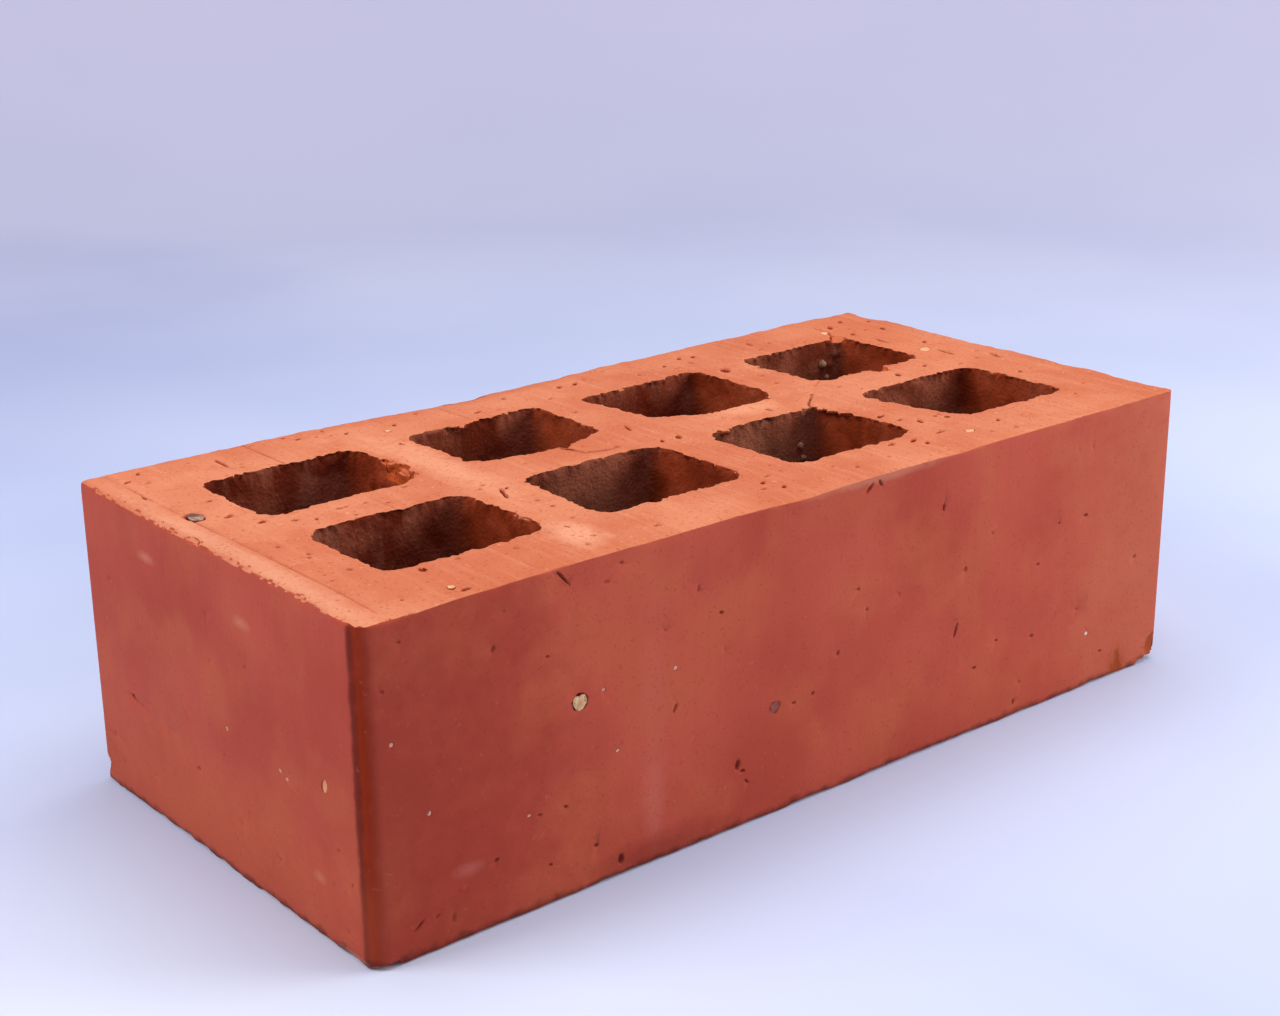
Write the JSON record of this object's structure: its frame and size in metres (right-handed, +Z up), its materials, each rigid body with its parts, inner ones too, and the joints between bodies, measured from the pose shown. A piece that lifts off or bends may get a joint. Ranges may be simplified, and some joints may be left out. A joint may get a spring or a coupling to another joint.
{
  "type": "perforated clay brick",
  "caption": "Rectangular fired-clay masonry unit with upright rounded-rectangular cores right through it and small stones set in the clay. Laid flat in mortar.",
  "frame": {"origin": "centre of the lower bed face, the face that the brick rests on", "axes": "+X along the length, towards the right header; +Y across the width, away from the front stretcher; +Z up through the cores"},
  "size_m": [0.215, 0.1024, 0.065],
  "materials": {
    "fired_clay": "wire-cut bed faces, smooth die skin on the sides, sandy core walls",
    "grey_stone": "matt, level with the face",
    "cream_stone": "matt, level with the face",
    "buff_stone": "matt",
    "white_quartz": "semi-gloss grain",
    "ironstone": "matt, burnt dark",
    "pale_grit": "matt grains"
  },
  "bodies": {
    "root": {"fired_clay_body": "fired_clay", "grey_pebble": "grey_stone", "cream_pebble": "cream_stone", "buff_grain": "buff_stone", "quartz_grain": "white_quartz", "iron_nodule": "ironstone", "bed_grit": "pale_grit", "stretcher_grit": "white_quartz", "header_grit": "pale_grit", "core_wall_grit": "pale_grit"}
  },
  "joints": []
}
